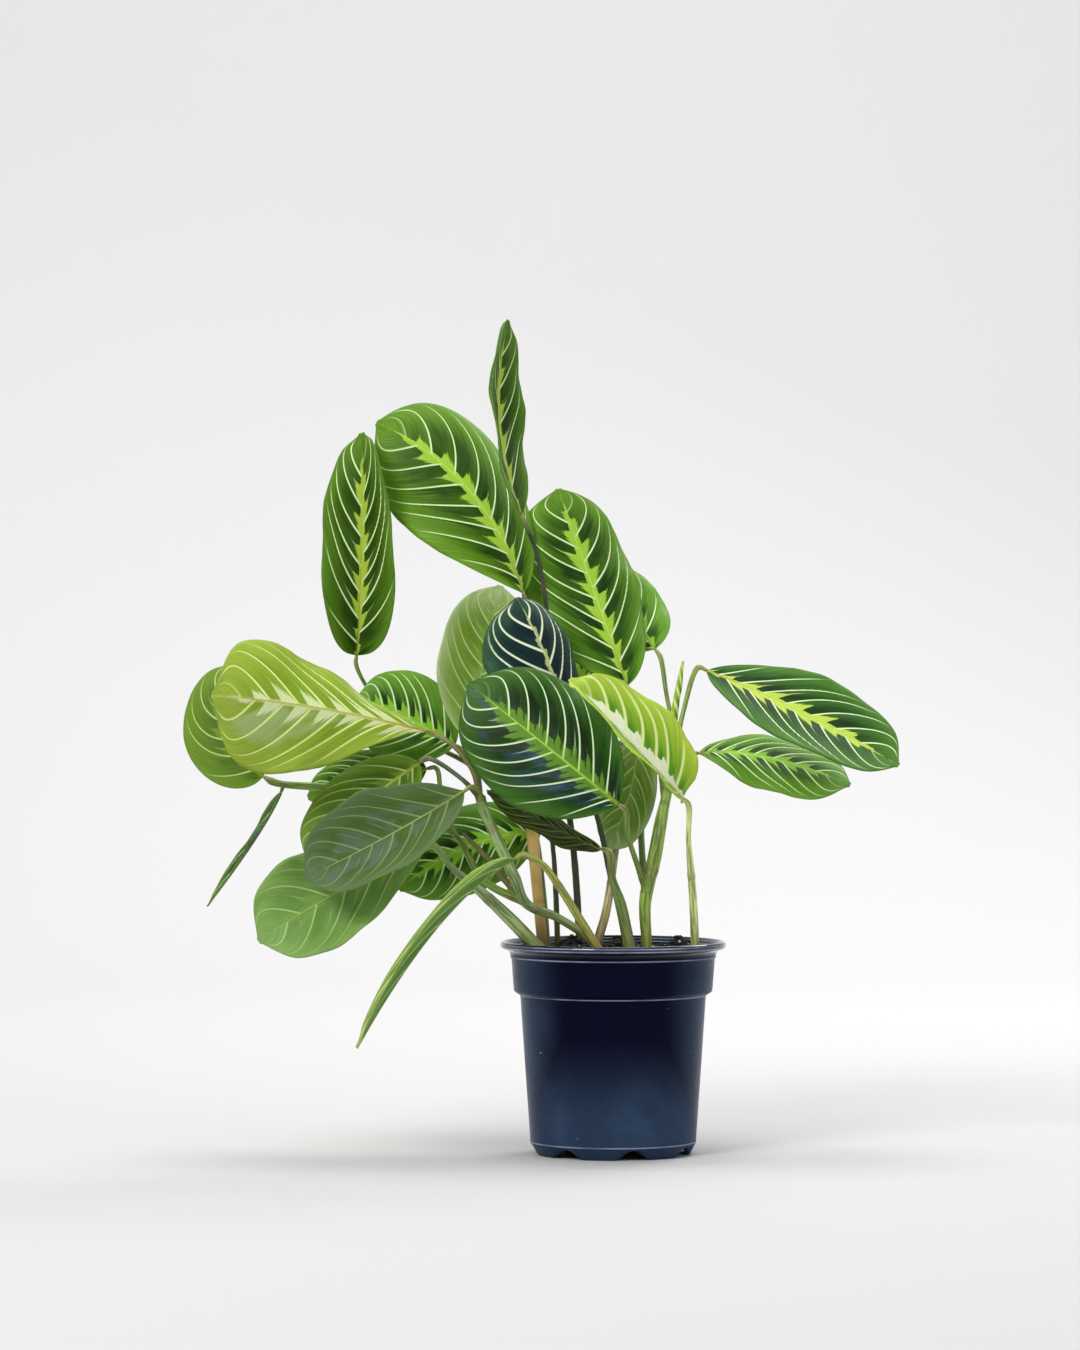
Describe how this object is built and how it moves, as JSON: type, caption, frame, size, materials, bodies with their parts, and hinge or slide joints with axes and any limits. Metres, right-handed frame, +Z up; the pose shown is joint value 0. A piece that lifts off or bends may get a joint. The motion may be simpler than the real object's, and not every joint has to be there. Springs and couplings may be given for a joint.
{
  "type": "potted prayer plant maranta",
  "caption": "Leafy prayer plant with striped oval leaves on thin stems and a cane, rooted in soil in a round tapered nursery pot that stands on its feet.",
  "frame": {"origin": "on the pot's vertical axis, on the flat foot under the pot's floor, at the height of the ground", "axes": "+Z up along the pot's axis and the plant's height, -Y towards the front of the plant, +X to the right seen from the front"},
  "size_m": [0.4407, 0.2492, 0.5175],
  "materials": {
    "pot_plastic": "gloss",
    "soil": "matte",
    "bamboo": "satin",
    "stem": "satin",
    "leaf_green": "satin",
    "leaf_dark": "satin",
    "leaf_young": "satin"
  },
  "bodies": {
    "root": {"back_left_stem": "stem", "back_stem": "stem", "cane": "bamboo", "front_stem": "stem", "hanging_stem": "stem", "leaf_back_left": "leaf_green", "leaf_back_low": "leaf_green", "leaf_back_right": "leaf_green", "leaf_back_upper": "leaf_green", "leaf_crown": "leaf_green", "leaf_drooping_left": "leaf_green", "leaf_far_left": "leaf_green", "leaf_front": "leaf_dark", "leaf_hanging_front": "leaf_green", "leaf_hanging_left": "leaf_green", "leaf_inner_dark": "leaf_dark", "leaf_inner_left": "leaf_green", "leaf_inner_low": "leaf_green", "leaf_low_left": "leaf_green", "leaf_lower_left": "leaf_green", "leaf_mid_left": "leaf_green", "leaf_right": "leaf_green", "leaf_right_low": "leaf_green", "leaf_shaded_left": "leaf_green", "leaf_spear": "leaf_young", "leaf_turned_left": "leaf_green", "leaf_turned_mid": "leaf_green", "leaf_under_front": "leaf_green", "leaf_upper_left": "leaf_green", "leaf_upper_mid": "leaf_green", "leaf_upper_right": "leaf_green", "leaf_young_front": "leaf_young", "leaf_young_left": "leaf_young", "left_stem": "stem", "low_left_stem": "stem", "mid_stem": "stem", "pot": "pot_plastic", "right_stem": "stem", "soil": "soil", "tall_stem": "stem", "thin_stem": "stem", "under_stem": "stem"}
  },
  "joints": []
}
